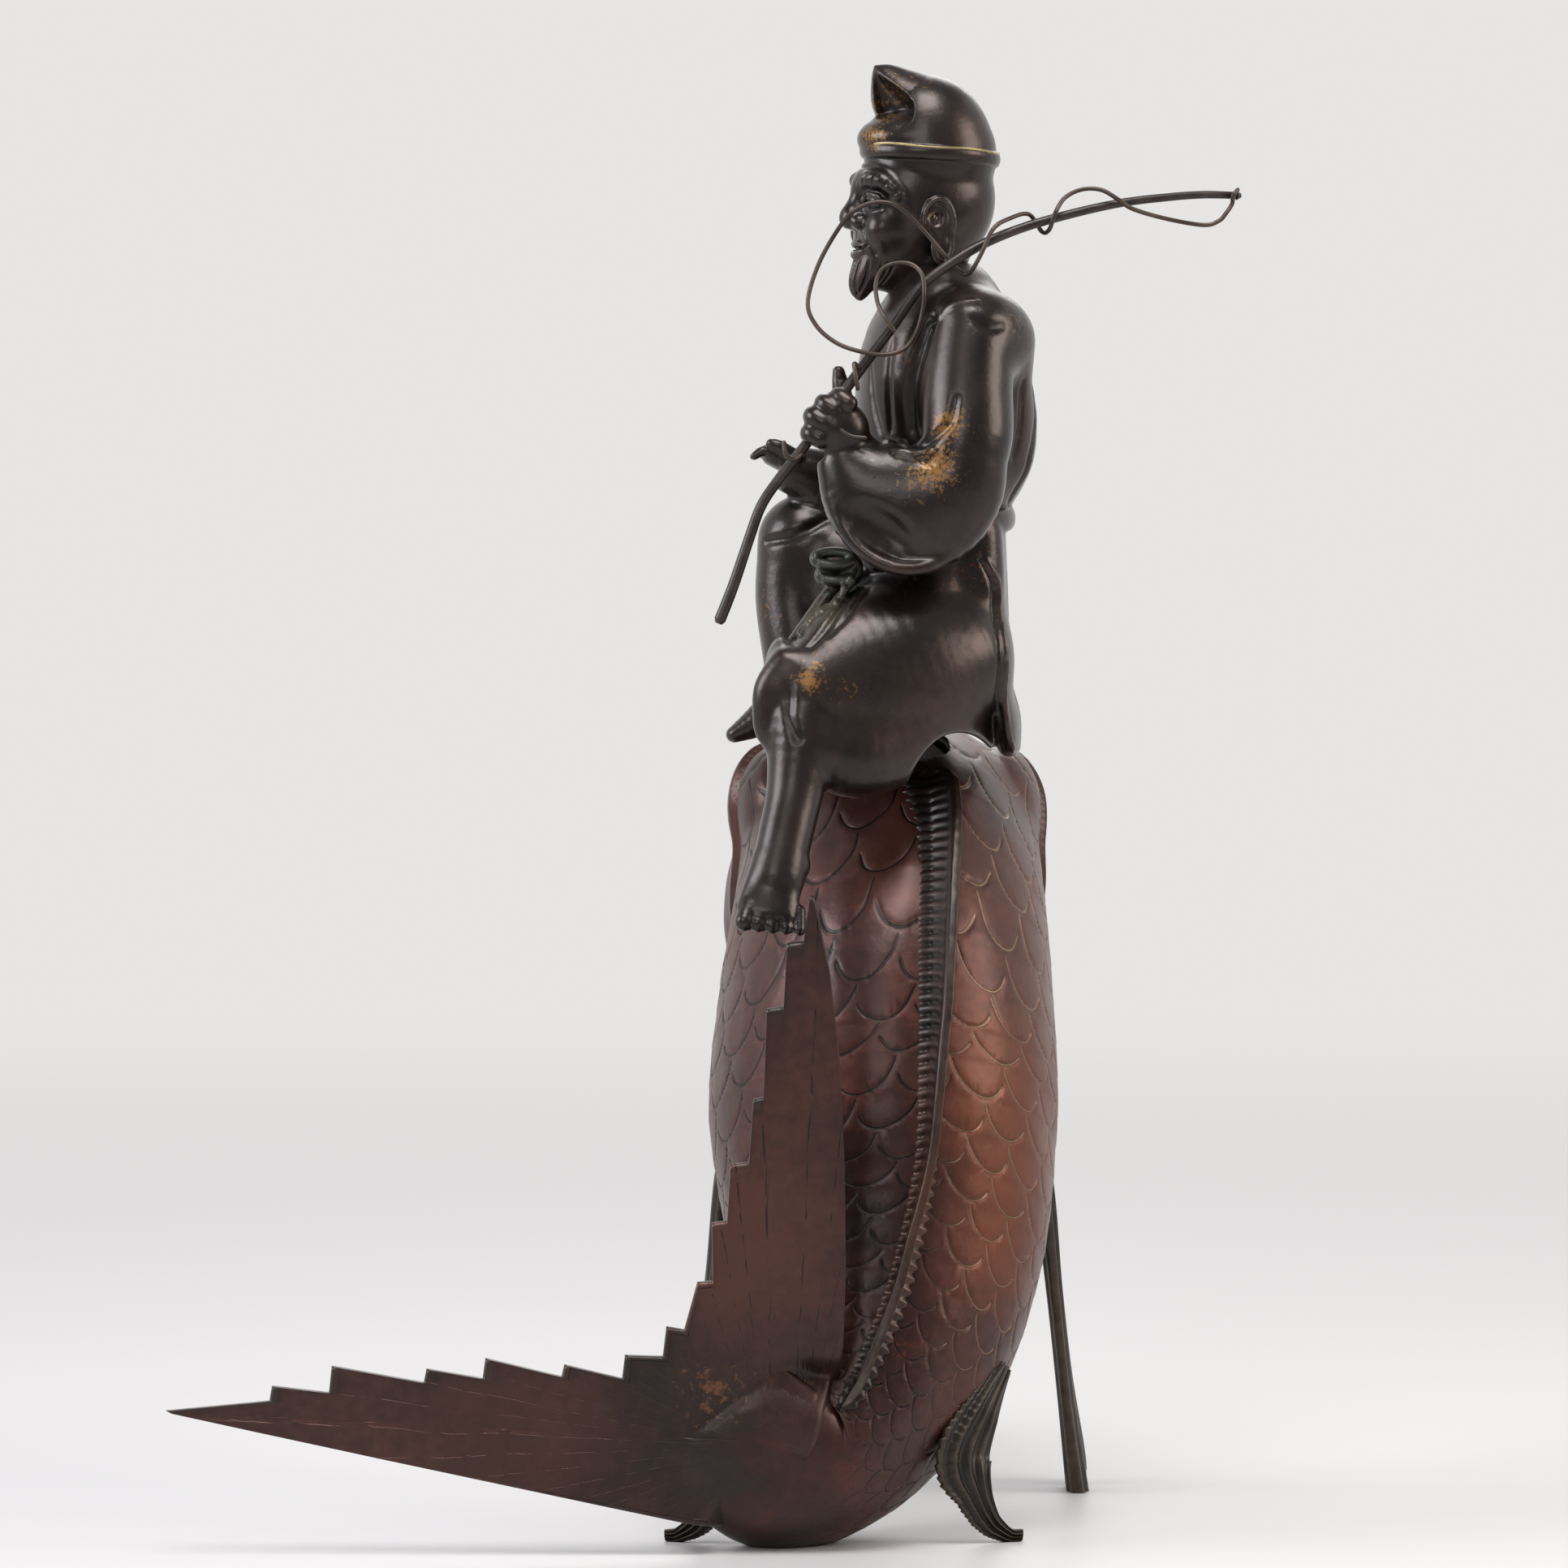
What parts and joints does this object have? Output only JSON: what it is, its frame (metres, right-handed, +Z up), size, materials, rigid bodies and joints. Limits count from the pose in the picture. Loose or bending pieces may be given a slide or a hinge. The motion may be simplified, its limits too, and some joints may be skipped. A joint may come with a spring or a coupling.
{
  "type": "fisherman incense burner",
  "caption": "Cast bronze incense burner: a scaled, leaping fish standing on its tail root and fins, with a seated fisherman holding a rod as its lid.",
  "frame": {"origin": "on the surface it stands on, under the middle of its bounding box", "axes": "+Z up; +Y towards the fish's head, away from its tail; -X the side that the fisherman faces and the tail fin points to"},
  "size_m": [0.3053, 0.2407, 0.422],
  "materials": {
    "fish_bronze": "reddish brown patina, waxed",
    "fin_bronze": "dark olive brown patina",
    "figure_bronze": "brown-black patina with worn brassy patches",
    "rod_bronze": "dark rubbed metal",
    "line_wire": "drawn wire, dulled"
  },
  "bodies": {
    "root": {"fish_body": "fish_bronze", "rear_fin_right": "fin_bronze", "rear_fin_left": "fin_bronze", "front_fin_right": "fin_bronze", "front_fin_left": "fin_bronze", "fisherman": "figure_bronze", "fishing_rod": "rod_bronze", "fishing_line": "line_wire"}
  },
  "joints": []
}
